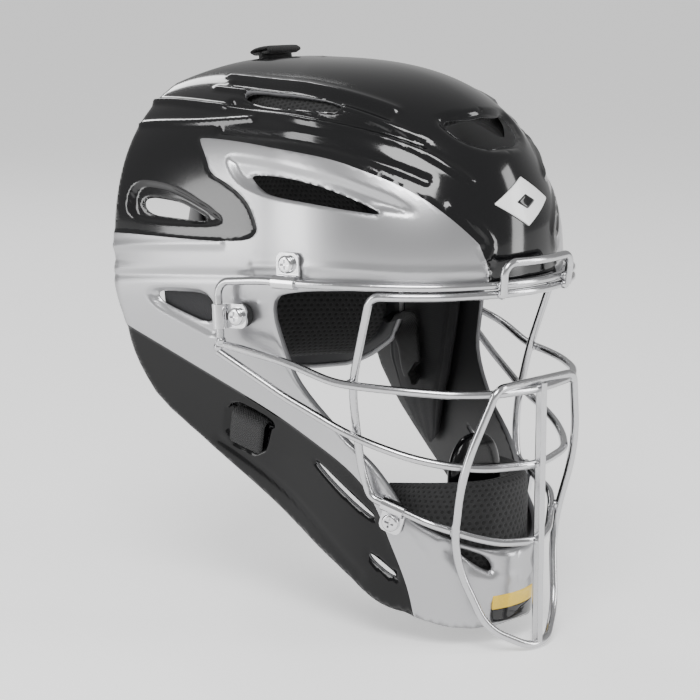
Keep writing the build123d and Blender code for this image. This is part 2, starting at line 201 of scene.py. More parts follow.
# ------------------------------------------------------------------ outlines of the shell, wearer's right
REAR_Z = np.linspace(138.5, 57, 26)
EDGE = np.concatenate([
    side([(78, z) for z in REAR_Z]),
    side([(75, 36), (70, 18), (69, 5), (65, -8), (57, -23), (35, -40), (8, -58), (-26, -82), (-52, -99),
          (-64, -109), (-73, -114), (-87, -116.5)]),
    [(-22, -112, -123), (-6, -118, -124), (0, -118.5, -124)],
])
PORT = [(0, -121, 49.5), (-25, -118, 49.5), (-46, -105, 49), (-58, -91, 49), (-70, -70, 47.5),
        (-79, -38, 44.5),
        (-80, -24, 39), (-74, -28, 11), (-67, -31, -6), (-57, -52, -30), (-55, -59, -35), (-51, -70, -44),
        (-47, -80, -58), (-46, -83, -66), (-33, -102, -75.5), (-12, -116, -82), (0, -118, -83.5)]
HOLES = {
    "rear": side([(60, 84), (37, 83), (30, 81), (17, 76), (18, 74), (36, 74.5), (56, 75)]),
    "low": side([(49, 36), (38, 37), (12, 38), (14, 20), (38, 27.5), (47, 31)]),
    "big": side([(-4, 100), (-39, 98), (-61, 93), (-72, 89), (-81, 85), (-79, 84), (-57, 86), (-21, 89),
                 (-11, 94)]),
    "crown": above([(-53, 20), (-52, -14), (-47, -42), (-52, -45), (-58, -18), (-60, 16)]),
    "chin": ahead([(-31, -79), (-19, -84), (-14, -92.5), (-18, -93), (-31, -82)]),
}
JAW_SLOTS = np.array([[(-34, -44), (-68, -68)], [(-65, -87), (-79, -97)]], float)
for number, (start, end) in enumerate(JAW_SLOTS):
    along = (end - start) / np.linalg.norm(end - start)
    half = np.array([-along[1], along[0]]) * 1.6
    HOLES[f"slot{number}"] = side([start + half, end + half, end - half, start - half])
ALONG_SLOT = np.array([math.cos(STRAP_TURN), math.sin(STRAP_TURN)])
ACROSS_SLOT = np.array([ALONG_SLOT[1], -ALONG_SLOT[0]])
SLOT_AT = np.array([2.5, -25.0])
CORNERS = ((-1, -1), (1, -1), (1, 1), (-1, 1))
HOLES["strap"] = side([SLOT_AT + ALONG_SLOT * i * 12.5 + ACROSS_SLOT * j * 2.5 for i, j in CORNERS])
HALF_HOLES = {
    "scoop": above([(0, -106), (-9, -106), (-22, -97), (-25, -84), (-10, -92), (0, -92)]),
    "slot": above([(0, 53.7), (-13.5, 53.7), (-14.5, 56), (-13.5, 58.3), (0, 58.3)]),
}
SILVER_TOP = [(-76, 30, 115), (-72, 0, 114), (-70, -27, 111), (-63, -56, 107), (-60, -67, 104),
              (-54, -82, 99),
              (-47, -95, 92), (-39, -107, 82), (-29, -115, 70)]
HOOK = [(-95, 79, 64), (-90, 38, 64.5), (-82, -9, 66), (-80, -17, 71), (-80, -15, 77), (-80, -10, 85),
        (-80, -3, 90),
        (-80, 6, 94), (-81, 17, 98), (-79, 21, 104), (-76, 29, 112)]
BROW_END = [(-27, -116, 65), (-25, -118, 58), (-25, -118, 49.5)]
JAW_LINE = [(-94, 71, 18), (-86, 44, 6), (-70, 1, -15), (-61, -28, -30), (-56, -52, -43), (-53, -64, -53),
            (-51, -71, -65), (-49, -76, -78), (-47, -81, -90), (-45, -86, -104), (-43, -88, -118)]

EDGE3, EDGE2 = on_shell(EDGE, rounds=1)
PORT3, PORT2 = on_shell(PORT)
lines = {"edge": (EDGE3, EDGE2, False), "port": (PORT3, PORT2, False)}
for name, points in HOLES.items():
    p3, p2 = on_shell(points, True)
    lines[name] = (p3, p2, True)
for name, points in HALF_HOLES.items():
    p3, p2 = on_shell(points)
    lines[name] = (p3, p2, False)
COLOUR_LINES = {"crown_line": HOOK + SILVER_TOP, "brow_end": [SILVER_TOP[-1]] + BROW_END,
                "jaw_line": JAW_LINE}
for name, points in COLOUR_LINES.items():
    p3, p2 = on_shell(points)
    lines[name] = (p3, p2, False)

CROWN_AREA = np.concatenate([lines["crown_line"][1], lines["brow_end"][1],
                             [[5, 8], [5, 150], [-60, 150], [-125, 50]]])
JAW_AREA = np.concatenate([lines["jaw_line"][1], [[-40, -120], [-160, -120], [-170, 0]]])


# ------------------------------------------------------------------ relief
def recess(outline, depth, bevel, rounds=2):
    p3, p2 = on_shell(outline, True, rounds)
    return lambda p, f: -depth * np.where(inside(f, p2), smooth(distance(p, p3, True) / bevel), 0)


def ridge(line, height, width):
    p3, _ = on_shell(line)
    return lambda p, f: height * np.exp(-((distance(p, p3) / width) ** 2))


RELIEF = [
    recess(side([(67, 92), (46, 92), (30, 88), (13, 81), (4, 75), (15, 71), (57, 70), (69, 74)]), 2.2, 3.0),
    recess(side([(55, 38), (36, 41), (10, 41), (9, 12), (30, 20), (51, 28)]), 2.2, 3.0),
    recess([(-76, 12, 108), (-74, -7, 108), (-71, -37, 104), (-65, -59, 101), (-62, -69, 98), (-54, -87, 92),
            (-49, -97, 83), (-56, -82, 82), (-66, -60, 83), (-74, -30, 85), (-78, -10, 89), (-79, 4, 96)],
            2.8, 4.5),
    recess(side([(16, -16), (-9, -26), (-3, -48), (22, -41)]), 1.8, 1.6, 1),
    recess(above([(-29, -80), (-25, -97), (-10, -108), (10, -108), (25, -97), (29, -80), (9, -89),
                  (-9, -89)]), 2.2, 3),
    recess(ahead([(-36, -75), (-19, -81), (-10, -93), (-18, -97), (-36, -86)]), 1.6, 3),
    recess([(-18, -113, -104), (-18, -112.5, -122), (18, -112.5, -122), (18, -113, -104)], 0.8, 1.2, 1),
    ridge([(-51, 33, 141), (-50, -8, 139), (-47, -41, 135), (-40, -66, 127)], -1.6, 1.8),
    ridge([(-46, 40, 144), (-45, -8, 142), (-42, -41, 138), (-35, -66, 129)], 1.3, 1.8),
    ridge([(-56, 40, 138), (-53, -13, 136), (-50, -43, 132), (-42, -72, 122), (-35, -86, 116)], 1.4, 1.5),
    ridge([(-62, 22, 131), (-59, -18, 129), (-54, -48, 126), (-44, -74, 120), (-37, -87, 117)], -2.6, 2.3),
    ridge([(-66, 78, 130), (-65, 37, 130), (-62, 6, 129), (-61, -27, 126), (-56, -49, 124), (-44, -78, 117),
           (-27, -107, 99)], 1.8, 1.7),
    ridge([(-77, 76, 119), (-73, 41, 121), (-65, 3, 125)], 1.3, 1.6),
    ridge([(-72, 20, 119), (-67, -24, 117), (-61, -54, 114), (-53, -75, 107), (-42, -92, 98)], -1.7, 1.9),
    ridge([(-95, 83, 56), (-84, 6, 64)], 0.8, 2.0),
    ridge([(-97, 80, 42), (-90, 30, 47), (-82, -12, 50)], -0.9, 2.0),
    ridge([(-81, -14, 55), (-59, -91, 56), (-25, -118, 57)], 0.6, 1.6),
    ridge([(-38, -105, 88), (-29, -113, 80), (-22, -118, 72), (-24, -118, 63)], 0.9, 1.8),
    ridge([(-46, -84, -72), (-39, -94, -88)], 0.7, 1.4),
    ridge([(-30, -106, -86), (-22, -112, -94), (-8, -117, -98), (0, -118, -99)], 0.9, 1.6),
    ridge([(-60, 20, -30), (-56, -22, -60), (-50, -56, -90)], -0.7, 2.2),
]


def height(p, flat):
    h = sum(r(p, flat) for r in RELIEF)
    for name, area in (("crown_line", CROWN_AREA), ("jaw_line", JAW_AREA)):
        h -= 0.7 * np.where(inside(flat, area), smooth(distance(p, lines[name][0]) / 1.6), 0)
    edge = np.full(len(p), LONG)
    for name, (p3, _, closed) in lines.items():
        if name not in COLOUR_LINES:
            edge = np.minimum(edge, distance(p, p3, closed))
    return h - 0.7 * np.clip(1 - edge / 1.8, 0, 1) ** 2


# ------------------------------------------------------------------ shell mesh
def mesh_object(name, verts, faces, mat=None):
    mesh = bpy.data.meshes.new(name)
    corners = [tuple(map(float, p)) for p in np.asarray(verts) * MM]
    mesh.from_pydata(corners, [], [tuple(map(int, f)) for f in faces])
    mesh.validate()
    obj = bpy.data.objects.new(name, mesh)
    bpy.context.scene.collection.objects.link(obj)
    bm = bmesh.new()
    bm.from_mesh(mesh)
    bmesh.ops.recalc_face_normals(bm, faces=bm.faces)
    bm.to_mesh(mesh)
    bm.free()
    mesh.shade_smooth()
    if mat:
        mesh.materials.append(mat)
    return obj


def drop_loose(obj):
    """Delete the corners that no face uses."""
    bm = bmesh.new()
    bm.from_mesh(obj.data)
    bmesh.ops.delete(bm, geom=[v for v in bm.verts if not v.link_faces], context="VERTS")
    bm.to_mesh(obj.data)
    bm.free()


def closed_half(line, past):
    """An open line that starts and ends at the middle, as an outline closed just past the middle."""
    return np.concatenate([line, [[past, line[-1, 1]], [past, line[0, 1]]]])


HEX_ROW = 0.866  # spacing of the rows of a triangular grid
MAP_BOTTOM, MAP_TOP = -135, 142  # extent of the map, in degrees
MAP_WIDE, MAP_TALL = 150, 280


def build_shell():
    step = 0.9
    grid = []
    for i in range(int(MAP_WIDE / step)):
        for j in range(int(MAP_TALL / (step * HEX_ROW))):
            grid.append((-(i + (0.5 if j % 2 else 0)) * step, MAP_BOTTOM + j * step * HEX_ROW))
    grid = np.array(grid)
    grid = grid[np.hypot(grid[:, 0], grid[:, 1]) < MAP_TOP]
    keep = inside(grid, closed_half(EDGE2, 0.5)) & ~inside(grid, closed_half(PORT2, 0.5))
    grid = grid[keep | (grid[:, 0] > -1e-6)]
    near = np.zeros(len(grid), bool)
    marks = np.concatenate([line[1] for line in lines.values()])
    for chunk in range(0, len(grid), 4000):
        d = np.linalg.norm(grid[chunk:chunk + 4000, None] - marks[None], axis=2).min(1)
        near[chunk:chunk + 4000] = d < step * 0.42
    grid = grid[~near]
    points, edges = [tuple(p) for p in grid], []
    for _, p2, closed in lines.values():
        p2 = p2.copy()
        if not closed:
            for end in (0, -1):
                if abs(p2[end, 0]) < 1.2:
                    p2[end, 0] = 0
        first = len(points)
        points += [tuple(p) for p in p2]
        edges += [(first + i, first + i + 1) for i in range(len(p2) - 1)]
        if closed:
            edges.append((first + len(p2) - 1, first))
    first = len(points)
    points += [(0.0, MAP_BOTTOM), (0.0, MAP_TOP)]
    edges.append((first, first + 1))
    out, _, tris, *_ = delaunay_2d_cdt([Vector(p) for p in points], edges, [], 0, 1e-5)
    flat = np.array([tuple(p) for p in out])
    tris = np.array([tuple(t) for t in tris if len(t) == 3])
    mid = flat[tris].mean(1)
    ok = inside(mid, closed_half(EDGE2, 0.6)) & ~inside(mid, closed_half(PORT2, 0.6))
    ok &= mid[:, 0] < 0
    for name in HOLES:
        ok &= ~inside(mid, lines[name][1])
    for name in HALF_HOLES:
        ok &= ~inside(mid, closed_half(lines[name][1], 0.6))
    tris, mid = tris[ok], mid[ok]
    used = np.unique(tris)
    index = np.full(len(flat), -1)
    index[used] = np.arange(len(used))
    flat, tris = flat[used], index[tris]
    flat[np.abs(flat[:, 0]) < 1e-4, 0] = 0
    skin = from_map(flat)
    skin[flat[:, 0] == 0, 0] = 0
    n = normals(skin)
    n[flat[:, 0] == 0, 0] = 0
    outer = skin + n * height(skin, flat)[:, None]
    inner = skin - n * WALL
    black = inside(mid, CROWN_AREA)
    jaw = inside(mid, JAW_AREA) & ~black
    kind = np.where(black, 1, np.where(jaw, 2, 0))
    count = len(flat)
    twin = np.where(flat[:, 0] == 0, np.arange(count), np.arange(count) + count)
    verts = np.concatenate([outer, outer * MIRROR, inner, inner * MIRROR])
    left = twin[tris][:, ::-1]
    shell = np.concatenate([tris, left])
    faces = [tuple(f) for f in shell] + [tuple(f[::-1] + 2 * count) for f in shell]
    slots = list(kind) * 2 + [3] * len(shell)
    open_edges = {}
    for f in shell:
        for a, b in ((f[0], f[1]), (f[1], f[2]), (f[2], f[0])):
            if (b, a) in open_edges:
                del open_edges[(b, a)]
            else:
                open_edges[(a, b)] = True
    for a, b in open_edges:
        faces.append((b, a, a + 2 * count, b + 2 * count))
        slots.append(4)
    obj = mesh_object("shell", verts, faces)
    obj.data.polygons.foreach_set("material_index", np.array(slots, np.int32)[: len(obj.data.polygons)])
    return obj


# ------------------------------------------------------------------ materials
def material(name, base, rough, metal=0.0, coat=0.0, grain=None, bump=None, mottle=0.15, ior=1.5):
    """A surface with a fine grain.

    grain is (scale per metre, roughness swing) and bump is (scale per metre, strength, metres).
    """
    mat = bpy.data.materials.new(name)
    mat.use_nodes = True
    nodes, links = mat.node_tree.nodes, mat.node_tree.links
    shader = nodes["Principled BSDF"]
    shader.inputs["Base Color"].default_value = (*base, 1)
    shader.inputs["Roughness"].default_value = rough
    shader.inputs["Metallic"].default_value = metal
    shader.inputs["Coat Weight"].default_value = coat
    shader.inputs["Coat Roughness"].default_value = 0.06
    shader.inputs["IOR"].default_value = ior
    place = nodes.new("ShaderNodeTexCoord")
    if grain:
        noise = nodes.new("ShaderNodeTexNoise")
        noise.inputs["Scale"].default_value = grain[0]
        noise.inputs["Detail"].default_value = 4
        links.new(place.outputs["Object"], noise.inputs["Vector"])
        swing = nodes.new("ShaderNodeMapRange")
        swing.inputs["To Min"].default_value = max(0.02, rough - grain[1])
        swing.inputs["To Max"].default_value = rough + grain[1]
        links.new(noise.outputs["Fac"], swing.inputs["Value"])
        links.new(swing.outputs["Result"], shader.inputs["Roughness"])
        mix = nodes.new("ShaderNodeMix")
        mix.data_type = "RGBA"
        mix.inputs["A"].default_value = (*[v * (1 - mottle) for v in base], 1)
        mix.inputs["B"].default_value = (*[min(1, v * (1 + mottle)) for v in base], 1)
        links.new(noise.outputs["Fac"], mix.inputs["Factor"])
        links.new(mix.outputs["Result"], shader.inputs["Base Color"])
    if bump:
        fine = nodes.new("ShaderNodeTexNoise")
        fine.inputs["Scale"].default_value = bump[0]
        fine.inputs["Detail"].default_value = 3
        links.new(place.outputs["Object"], fine.inputs["Vector"])
        raised = nodes.new("ShaderNodeBump")
        raised.inputs["Strength"].default_value = bump[1]
        raised.inputs["Distance"].default_value = bump[2]
        links.new(fine.outputs["Fac"], raised.inputs["Height"])
        links.new(raised.outputs["Normal"], shader.inputs["Normal"])
    return mat


def calculator(nodes, links):
    """A function that adds one Math node and returns its output."""
    def calc(kind, a, b=None):
        node = nodes.new("ShaderNodeMath")
        node.operation = kind
        for k, value in enumerate((a, b)):
            if isinstance(value, (int, float)):
                node.inputs[k].default_value = value
            elif value is not None:
                links.new(value, node.inputs[k])
        return node.outputs[0]
    return calc


def cloth(name, base, hollow_shade, kind, pitch, strength=0.8, rough=0.8):
    """Cloth drawn over UVs in millimetres.

    "mesh" has round holes in staggered rows, "web" is a plain weave and "knit" is fine upright stitches. The
    second, darker colour is painted shade, laid into the holes and the hollows between threads.
    """
    mat = bpy.data.materials.new(name)
    mat.use_nodes = True
    nodes, links = mat.node_tree.nodes, mat.node_tree.links
    shader = nodes["Principled BSDF"]
    shader.inputs["Roughness"].default_value = rough
    shader.inputs["Sheen Weight"].default_value = 0.04
    uv = nodes.new("ShaderNodeUVMap")
    uv.uv_map = "mm"
    split = nodes.new("ShaderNodeSeparateXYZ")
    links.new(uv.outputs["UV"], split.inputs["Vector"])
    x, y = split.outputs["X"], split.outputs["Y"]
    calc = calculator(nodes, links)
    if kind == "mesh":
        row = calc("DIVIDE", y, pitch * HEX_ROW)
        shift = calc("MULTIPLY", calc("MODULO", calc("FLOOR", row), 2), 0.5)
        fx = calc("SUBTRACT", calc("FRACT", calc("ADD", calc("DIVIDE", x, pitch), shift)), 0.5)
        fy = calc("MULTIPLY", calc("SUBTRACT", calc("FRACT", row), 0.5), HEX_ROW)
        r2 = calc("ADD", calc("MULTIPLY", fx, fx), calc("MULTIPLY", fy, fy))
        ramp = nodes.new("ShaderNodeMapRange")
        ramp.interpolation_type = "SMOOTHSTEP"
        ramp.inputs["From Min"].default_value = 0.05
        ramp.inputs["From Max"].default_value = 0.12
        links.new(r2, ramp.inputs["Value"])
        level = ramp.outputs["Result"]
    else:
        long_pitch = pitch if kind == "web" else pitch * 2.2
        sx = calc("SINE", calc("MULTIPLY", x, 2 * math.pi / pitch))
        sy = calc("SINE", calc("MULTIPLY", y, 2 * math.pi / long_pitch))
        level = calc("ADD", calc("MULTIPLY", calc("MULTIPLY", sx, sy), 0.5), 0.5)
    # painted shade: the colour runs from the darker second colour in the low parts of the pattern (the
    # hollows between threads; the mesh holes are real openings and their darkness is painted shade) to base
    # on the raised parts, following the bump height
    mix = nodes.new("ShaderNodeMix")
    mix.data_type = "RGBA"
    mix.inputs["A"].default_value = (*hollow_shade, 1)
    mix.inputs["B"].default_value = (*base, 1)
    links.new(level, mix.inputs["Factor"])
    links.new(mix.outputs["Result"], shader.inputs["Base Color"])
    raised = nodes.new("ShaderNodeBump")
    raised.inputs["Strength"].default_value = strength
    raised.inputs["Distance"].default_value = 0.0006
    links.new(level, raised.inputs["Height"])
    links.new(raised.outputs["Normal"], shader.inputs["Normal"])
    return mat


SILVER = material("silver", (0.42, 0.42, 0.43), 0.30, 0.85, 0.35, (5200, 0.05), (5200, 0.05, 0.0001), 0.10)
GLOSS_BLACK = material("gloss_black", (0.003, 0.003, 0.0035), 0.12, 0, 0.35, (900, 0.03), (60, 0.02, 0.001),
                       ior=1.42)
SATIN_BLACK = material("satin_black", (0.002, 0.002, 0.0023), 0.17, 0, 0.05, (1500, 0.03),
                       (2600, 0.04, 0.0001),
                       ior=1.33)
INSIDE = material("inside", (0.010, 0.010, 0.011), 0.5, 0, 0, (1200, 0.06), (1800, 0.10, 0.0002))
RIM = material("cut_edge", (0.11, 0.11, 0.115), 0.42, 0, 0, (1400, 0.08), (1500, 0.08, 0.0002))
NICKEL = material("nickel", (0.52, 0.52, 0.53), 0.20, 1.0, 0, (700, 0.07), (500, 0.05, 0.0003), 0.06)
CHROME = material("chrome", (0.66, 0.66, 0.67), 0.13, 1.0, 0, (900, 0.05), (700, 0.04, 0.0002), 0.04)
STEEL = material("steel", (0.55, 0.55, 0.54), 0.30, 1.0, 0, (800, 0.08), (600, 0.05, 0.0002), 0.08)
RUBBER = material("rubber", (0.008, 0.008, 0.008), 0.62, 0, 0, (1100, 0.08), (1600, 0.15, 0.0002))
PLATE_BLACK = material("plate_black", (0.030, 0.030, 0.033), 0.38, 0, 0.1, (900, 0.06), (2200, 0.12, 0.0002))
PLATE_GREY = material("plate_grey", (0.34, 0.34, 0.35), 0.42, 0, 0, (900, 0.06), (1600, 0.1, 0.0002))
MARK = material("mark_white", (0.85, 0.85, 0.85), 0.35, 0, 0.3, (900, 0.05), (2000, 0.05, 0.0001), 0.02)
YELLOW = material("label_yellow", (0.75, 0.50, 0.03), 0.4, 0, 0.2, (900, 0.05), (2000, 0.05, 0.0001))
# each cloth's second, darker colour is painted shade for the hollows of its weave and the holes of its mesh
MESH_CLOTH = cloth("spacer_mesh", (0.013, 0.013, 0.0135), (0.001, 0.001, 0.001), "mesh", 3.0, 1.0)
KNIT = cloth("knit", (0.010, 0.010, 0.012), (0.004, 0.004, 0.005), "knit", 0.8, 0.35, 0.7)
WEB = cloth("webbing", (0.011, 0.011, 0.012), (0.002, 0.002, 0.002), "web", 1.5, 0.8, 0.65)
ELASTIC = cloth("elastic", (0.014, 0.014, 0.015), (0.003, 0.003, 0.003), "knit", 1.2, 0.8, 0.7)


# ------------------------------------------------------------------ shell
shell = build_shell()
for mat in (SILVER, GLOSS_BLACK, SATIN_BLACK, INSIDE, RIM):
    shell.data.materials.append(mat)
shell.data.update()
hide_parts("front_shell")
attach(shell, "helmet")


# ------------------------------------------------------------------ soft and moulded pieces
def set_uv(obj, uvs):
    layer = obj.data.uv_layers.new(name="mm")
    loops = np.zeros(len(obj.data.loops), np.int32)
    obj.data.loops.foreach_get("vertex_index", loops)
    layer.data.foreach_set("uv", np.asarray(uvs, np.float32)[loops].ravel())


def closed_grid(name, front, back, mat, flat_size):
    """A closed piece from two grids of points that meet along their edges."""
    rows, cols = front.shape[:2]
    index = np.arange(rows * cols).reshape(rows, cols)
    other = index + rows * cols
    other[0], other[-1], other[:, 0], other[:, -1] = index[0], index[-1], index[:, 0], index[:, -1]
    faces = []
    for grid, order in ((index, 1), (other, -1)):
        for i in range(rows - 1):
            for j in range(cols - 1):
                f = (grid[i, j], grid[i + 1, j], grid[i + 1, j + 1], grid[i, j + 1])
                faces.append(f[::order])
    verts = np.concatenate([front.reshape(-1, 3), back.reshape(-1, 3)])
    obj = mesh_object(name, verts, faces, mat)
    t, s = np.meshgrid(np.linspace(0, flat_size[1], rows), np.linspace(0, flat_size[0], cols), indexing="ij")
    uv = np.stack([s, t], -1).reshape(-1, 2)
    set_uv(obj, np.concatenate([uv, uv]))
    drop_loose(obj)
    return obj


def disc(rows, cols, corner=0.45):
    """Grid over a rounded rectangle: positions in -1..1, and a profile that is 0 at the edge and 1 inside."""
    t, s = np.meshgrid(np.linspace(-1, 1, rows), np.linspace(-1, 1, cols), indexing="ij")
    t, s = np.sin(t * math.pi / 2) * 0.35 + t * 0.65, np.sin(s * math.pi / 2) * 0.35 + s * 0.65
    full = np.maximum(1 - np.abs(s) ** 9, 0) * np.maximum(1 - np.abs(t) ** 9, 0)
    return s * np.sqrt(1 - corner * t**2 / 2), t * np.sqrt(1 - corner * s**2 / 2), full**0.5


def cushion(name, place, under, thick, flat_size, mat, node, seams=(), corner=0.45):
    """A padded piece under the shell: place gives the surface point for (s, t)."""
    rows, cols = int(flat_size[1] / 1.8) + 8, int(flat_size[0] / 1.8) + 8
    s, t, profile = disc(rows, cols, corner)
    p = place(s, t)
    n = normals(p)
    puff = 1 + 0.10 * np.cos(s * math.pi / 2) * np.cos(t * math.pi / 2)
    for axis, at in seams:
        puff -= 0.28 * np.exp(-(((s if axis == "s" else t) - at) / 0.035) ** 2)
    wave = 0.15 * np.sin(s * 9 + t * 4) * np.sin(t * 7 - s * 3)
    half = thick / 2
    outer = p - n * (under + half * (1 - profile))[..., None]
    inner = p - n * (under + half * (1 + profile * puff) + wave * profile)[..., None]
    obj = closed_grid(name, outer, inner, mat, flat_size)
    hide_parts(node)
    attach(obj, "helmet")
    return obj


def fan(centre_y, z, angle):
    start = np.stack([np.zeros_like(z), np.full_like(z, centre_y), z], -1)
    turn = np.radians(angle)
    return hit(start, np.stack([np.sin(turn), -np.cos(turn), np.zeros_like(turn)], -1))


def polar(turn, tilt):
    turn, tilt = np.radians(turn), np.radians(tilt)
    return hit(HUB, np.stack([-np.sin(turn) * np.sin(tilt), -np.cos(tilt), np.cos(turn) * np.sin(tilt)], -1))


SIDE_ROWS = np.array([(-59, -10, -4), (-50, -15, 6), (-38, -17, 19), (-20, -19, 36), (0, -17, 45),
                      (20, -15, 48),
                      (40, -15, 49), (58, -15, 50)], float)


SIDE_PAD_BOTTOM, SIDE_PAD_TALL = -59, 117


def side_place(sign):
    def place(s, t):
        z = SIDE_PAD_BOTTOM + (t + 1) / 2 * SIDE_PAD_TALL
        front = np.interp(z, SIDE_ROWS[:, 0], SIDE_ROWS[:, 1])
        rear = np.interp(z, SIDE_ROWS[:, 0], SIDE_ROWS[:, 2])
        y = (front + rear) / 2 + (rear - front) / 2 * s
        return np.stack([sign * side_x(y, z), y, z], -1)
    return place


cushion("brow_pad_cloth", lambda s, t: fan(-20, 73.5 + 16.5 * t, s * (50 - 4 * t)), 4.6, 9, (150, 34),
        MESH_CLOTH,
        "brow_pad", [("s", -0.34), ("s", 0.34)])
cushion("chin_pad_cloth", lambda s, t: fan(-40, -73 + 24 * t, s * 66), 5.8, 11, (150, 48), MESH_CLOTH,
        "chin_pad",
        [("s", -0.4), ("s", 0.4)])
cushion("crown_pad_cloth", lambda s, t: polar(28 * s, 79 + 27 * t), 4.6, 9, (116, 115), MESH_CLOTH,
        "crown_pad",
        [("t", -0.3), ("t", 0.3)])
for sign, word in ((-1, "right"), (1, "left")):
    cushion(f"side_pad_{word}_cloth", side_place(sign), 4.4, 5.2, (60, SIDE_PAD_TALL), KNIT,
            f"side_pad_{word}",
            [("s", -0.82), ("s", 0.82)], 0.3)


def curve_points(points, step=1.5):
    """Points along a smooth line through the given ones."""
    p = np.asarray(points, float)
    ext = np.concatenate([[2 * p[0] - p[1]], p, [2 * p[-1] - p[-2]]])
    out = []
    for i in range(len(p) - 1):
        a, b, c, d = ext[i:i + 4]
        for t in np.linspace(0, 1, max(3, int(np.linalg.norm(c - b) / step)), endpoint=False):
            out.append(0.5 * (2 * b + (c - a) * t + (2 * a - 5 * b + 4 * c - d) * t**2
                              + (3 * b - 3 * c + d - a) * t**3))
    return np.array(out + [p[-1]])


def ribbon(name, points, across, wide, thick, mat):
    """A woven strap along a line, its width along across (one direction, or one at each end)."""
    line = curve_points(points)
    run = np.concatenate([[0], np.cumsum(np.linalg.norm(np.diff(line, axis=0), axis=1))])
    tangent = np.gradient(line, axis=0)
    tangent /= np.linalg.norm(tangent, axis=1, keepdims=True)
    ends = np.array(across, float).reshape(-1, 3)
    mix = (run / run[-1])[:, None]
    w = ends[0] * (1 - mix) + ends[-1] * mix
    w -= tangent * np.sum(w * tangent, 1, keepdims=True)
    w /= np.linalg.norm(w, axis=1, keepdims=True)
    n = np.cross(tangent, w)
    count = 13
    s = np.linspace(-1, 1, count)
    crown = (1 - np.abs(s) ** 8) ** 0.5
    verts, uvs = [], []
    for sgn in (1, -1):
        for k in range(count):
            verts.append(line + w * s[k] * wide / 2 + n * sgn * crown[k] * thick / 2)
            uvs.append(np.stack([np.full_like(run, s[k] * wide / 2), run], -1))
    verts, uvs = np.array(verts), np.array(uvs)
    ring = list(range(count)) + [count + k for k in range(count - 2, 0, -1)]
    steps = len(line)

    def corner(k, i):
        return ring[k % len(ring)] * steps + i

    faces = []
    for i in range(steps - 1):
        for k in range(len(ring)):
            faces.append((corner(k, i), corner(k + 1, i), corner(k + 1, i + 1), corner(k, i + 1)))
    faces.append(tuple(corner(k, 0) for k in range(len(ring)))[::-1])
    faces.append(tuple(corner(k, steps - 1) for k in range(len(ring))))
    obj = mesh_object(name, verts.reshape(-1, 3), faces, mat)
    set_uv(obj, uvs.reshape(-1, 2))
    drop_loose(obj)
    return obj


TOP = float(hit(np.array([0, 56.0, 60]), np.array([0, 0, 1.0]))[2])
ACROSS = (1, 0, 0)
CROWN_WEBBING, SIDE_WEBBING = 24, 20
lug = ribbon("crown_lug", [(0, 56, 140), (0, 56, TOP + 0.6), (0, 57.5, TOP + 2.0), (0, 61.4, TOP + 1.5),
                           (0, 62.8, TOP + 2.6), (0, 60.8, TOP + 3.8), (0, 55, TOP + 5.0),
                           (0, 50.2, TOP + 5.4),
                           (0, 49.2, TOP + 4.0), (0, 51, TOP + 3.0), (0, 54.2, TOP + 2.8)], ACROSS,
                           CROWN_WEBBING, 1.9,
             WEB)
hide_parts("crown_strap")
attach(lug, "helmet")
hang = ribbon("plate_strap_web", [(0, 56, 141), (0, 57, 139.3), (0, 62, 137.5), (0, 71, 126.5),
                                  (0, 81.2, 111),
                                  (0, 87.8, 100.6), (0, 92.7, 90.5)], ACROSS, CROWN_WEBBING, 1.8, WEB)
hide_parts("plate_strap")
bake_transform(hang)

# the side straps come up through the jaw slots and fold down the recess; the elastics start behind them
slot_at = side([SLOT_AT])[0]
out = normals(slot_at)
u3 = np.array([0, *ALONG_SLOT])
u3 -= out * (out @ u3)
u3 /= np.linalg.norm(u3)
down = np.cross(out, u3)
WING = np.array([-68.0, 25.0, 4.0])
for sign, word in ((1, "right"), (-1, "left")):
    m = np.array([sign, 1, 1.0])
    flap = ribbon(f"side_strap_{word}_web", [(slot_at + out * a + down * b) * m for a, b in (
        (-9, 0), (-3, -0.4), (0.6, -0.2), (2.2, 1.6), (1.7, 6), (0.9, 13), (0.2, 18.5))], u3 * m,
        SIDE_WEBBING, 1.8,
                  WEB)
    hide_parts(f"side_strap_{word}")
    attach(flap, "helmet")
    band = ribbon(f"side_elastic_{word}_web", [(slot_at - out * 8.6) * m, (slot_at - out * 11.5 + u3 * 5) * m,
                                                 ((slot_at - out * 13.5) * 0.35 + WING * 0.65) * m, WING * m,
                                                 (WING + np.array([1.8, 9, 3])) * m], u3 * m, SIDE_WEBBING,
                                                 1.5, ELASTIC)
    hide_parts(f"side_elastic_{word}")
    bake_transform(band)

# ------------------------------------------------------------------ back plate
FRONT_LINE = np.array([(-27, 97), (-26.3, 82), (-25, 65), (-22, 55), (-17, 46), (-7, 33), (8, 27), (40, 29),
                       (60, 37.5),
                       (78, 47), (96, 62), (105, 69), (109, 75)], float)


PLATE_BOTTOM, PLATE_TALL = -27, 136
PLATE_HALF, PLATE_REACH = 74.5, 100
PLATE_DOME_BASE, PLATE_DOME_HEIGHT = 30, 110


def plate_point(s, t, inset, margin=0.0):
    """A point of the plate's face, moved in by inset; margin keeps it clear of the plate's edges."""
    z = (PLATE_BOTTOM + margin) + (t + 1) / 2 * (PLATE_TALL - 2 * margin)
    size = (1 - np.clip((z - PLATE_DOME_BASE) / PLATE_DOME_HEIGHT, 0, 1) ** 2.5) ** 0.4
    front = np.interp(z, FRONT_LINE[:, 0], FRONT_LINE[:, 1]) + margin
    turn = np.arccos(np.clip(front / (PLATE_REACH * size), -1, 1)) * s
    x, y = (PLATE_HALF * size - inset) * np.sin(turn), (PLATE_REACH * size - inset) * np.cos(turn)
    return np.stack([x, y, z], -1)


